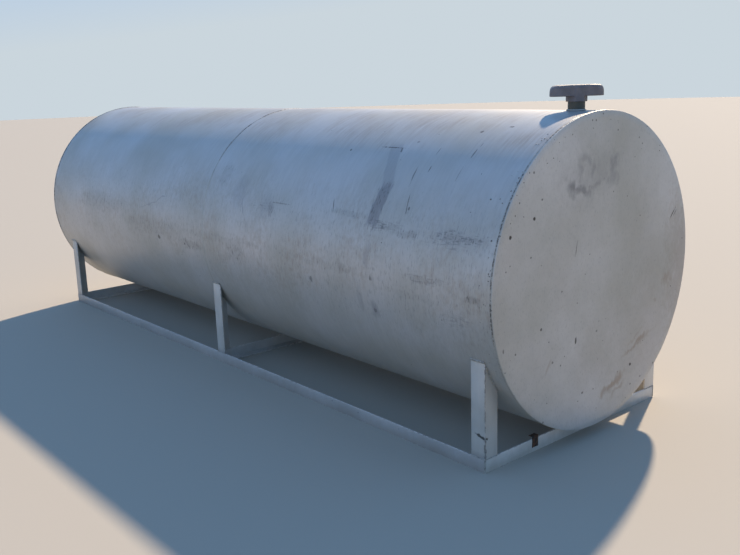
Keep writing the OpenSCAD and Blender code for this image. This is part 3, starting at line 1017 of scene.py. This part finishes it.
class TANK_OT_stage(bpy.types.Operator):
    """Set the floor, the soft light, the background and the camera"""
    bl_idname = "tank.stage"
    bl_label = "Stage"

    def execute(self, context):
        stage = context.scene.tank.stage
        scene = context.scene
        camera = bpy.data.objects.new("camera", bpy.data.cameras.new("camera"))
        scene.collection.objects.link(camera)
        turn = (Matrix.Rotation(math.radians(CAMERA_YAW), 3, "Z")
                @ Matrix.Rotation(math.radians(90 - CAMERA_PITCH), 3, "X")
                @ Matrix.Rotation(math.radians(CAMERA_ROLL), 3, "Z"))
        camera.rotation_euler = turn.to_euler()
        camera.location = CAMERA_PLACE
        camera.data.lens = CAMERA_LENS
        camera.data.sensor_width = CAMERA_SENSOR
        scene.camera = camera

        begin()
        bpy.ops.mesh.primitive_circle_add(vertices=96, radius=FLOOR_R, fill_type="NGON",
                                          location=(0, 0, CAD_BOX[0].z))
        floor = made("floor")
        material, tree, _ = start_material("pale_floor")
        seen = add(tree, "LightPath", {}).outputs
        shown = strongest(tree, seen["Is Camera Ray"], seen["Is Glossy Ray"],
                          seen["Is Transmission Ray"])
        tone = coated(tree, tuple(stage.floor), (shown, stage.backdrop))
        surface(tree, {"Base Color": tone, "Roughness": 0.9})
        floor.data.materials.append(material)

        sun = bpy.data.lights.new("key", "SUN")
        sun.energy = stage.key
        sun.color = stage.key_tint[:3]
        sun.angle = stage.key_softness
        key = bpy.data.objects.new("key", sun)
        key.rotation_euler = (-Vector(KEY_FROM)).to_track_quat("-Z", "Y").to_euler()
        scene.collection.objects.link(key)

        area = bpy.data.lights.new("fill", "AREA")
        area.shape = "RECTANGLE"
        area.size, area.size_y = FILL_SIZE
        area.energy = stage.fill
        area.color = stage.fill_tint[:3]
        fill = bpy.data.objects.new("fill", area)
        fill.location = FILL_PLACE
        fill.rotation_euler = (math.pi / 2, 0, 0)
        scene.collection.objects.link(fill)

        world = bpy.data.worlds.new("soft_sky")
        world.use_nodes = True
        tree = world.node_tree
        tree.nodes.clear()
        ray = add(tree, "TexCoord", {}).outputs["Generated"]
        rise = add(tree, "VectorMath", {0: ray, 1: SKY_TILT},
                   operation="DOT_PRODUCT").outputs["Value"]
        low = add(tree, "MapRange", {"Value": rise, "From Max": 0.25})
        high = add(tree, "MapRange", {"Value": rise, "From Min": 0.3, "From Max": 0.9})
        sky = coated(tree, tuple(stage.horizon), (low.outputs[0], stage.mid_sky),
                     (high.outputs[0], stage.zenith))
        light = add(tree, "Background", {"Color": sky, "Strength": stage.sky})
        add(tree, "OutputWorld", {"Surface": light.outputs[0]})
        scene.world = world
        scene.view_settings.view_transform = "Standard"
        return {"FINISHED"}


STEPS = (TANK_OT_shell, TANK_OT_heads, TANK_OT_ring_beads, TANK_OT_small_beads,
         TANK_OT_skid, TANK_OT_vent, TANK_OT_strap, TANK_OT_spatter, TANK_OT_stage)


class VIEW3D_PT_tank(bpy.types.Panel):
    """The tank's settings and its steps, in the order of making"""
    bl_space_type = "VIEW_3D"
    bl_region_type = "UI"
    bl_category = "Tank"
    bl_label = "Storage tank"

    def draw(self, context):
        settings = context.scene.tank
        for group in (settings.form, settings.finish, settings.stage):
            box = self.layout.box()
            for name in group.bl_rna.properties.keys():
                if name not in ("rna_type", "name"):
                    box.prop(group, name)
        for step in STEPS:
            self.layout.operator(step.bl_idname)


CLASSES = (TankForm, TankFinish, TankStage, TankSettings) + STEPS + (VIEW3D_PT_tank,)


def register():
    """Adds the classes and the scene's settings."""
    for cls in CLASSES:
        bpy.utils.register_class(cls)
    bpy.types.Scene.tank = PointerProperty(type=TankSettings)


def unregister():
    """Takes them away again."""
    del bpy.types.Scene.tank
    for cls in reversed(CLASSES):
        bpy.utils.unregister_class(cls)


def main():
    """Makes the whole tank."""
    register()
    bpy.ops.tank.stage()
    bpy.ops.tank.shell()
    bpy.ops.tank.heads()
    bpy.ops.tank.ring_beads()
    bpy.ops.tank.small_beads()
    bpy.ops.tank.skid()
    bpy.ops.tank.vent()
    bpy.ops.tank.strap()
    bpy.ops.tank.spatter()


if __name__ == "__main__":
    main()
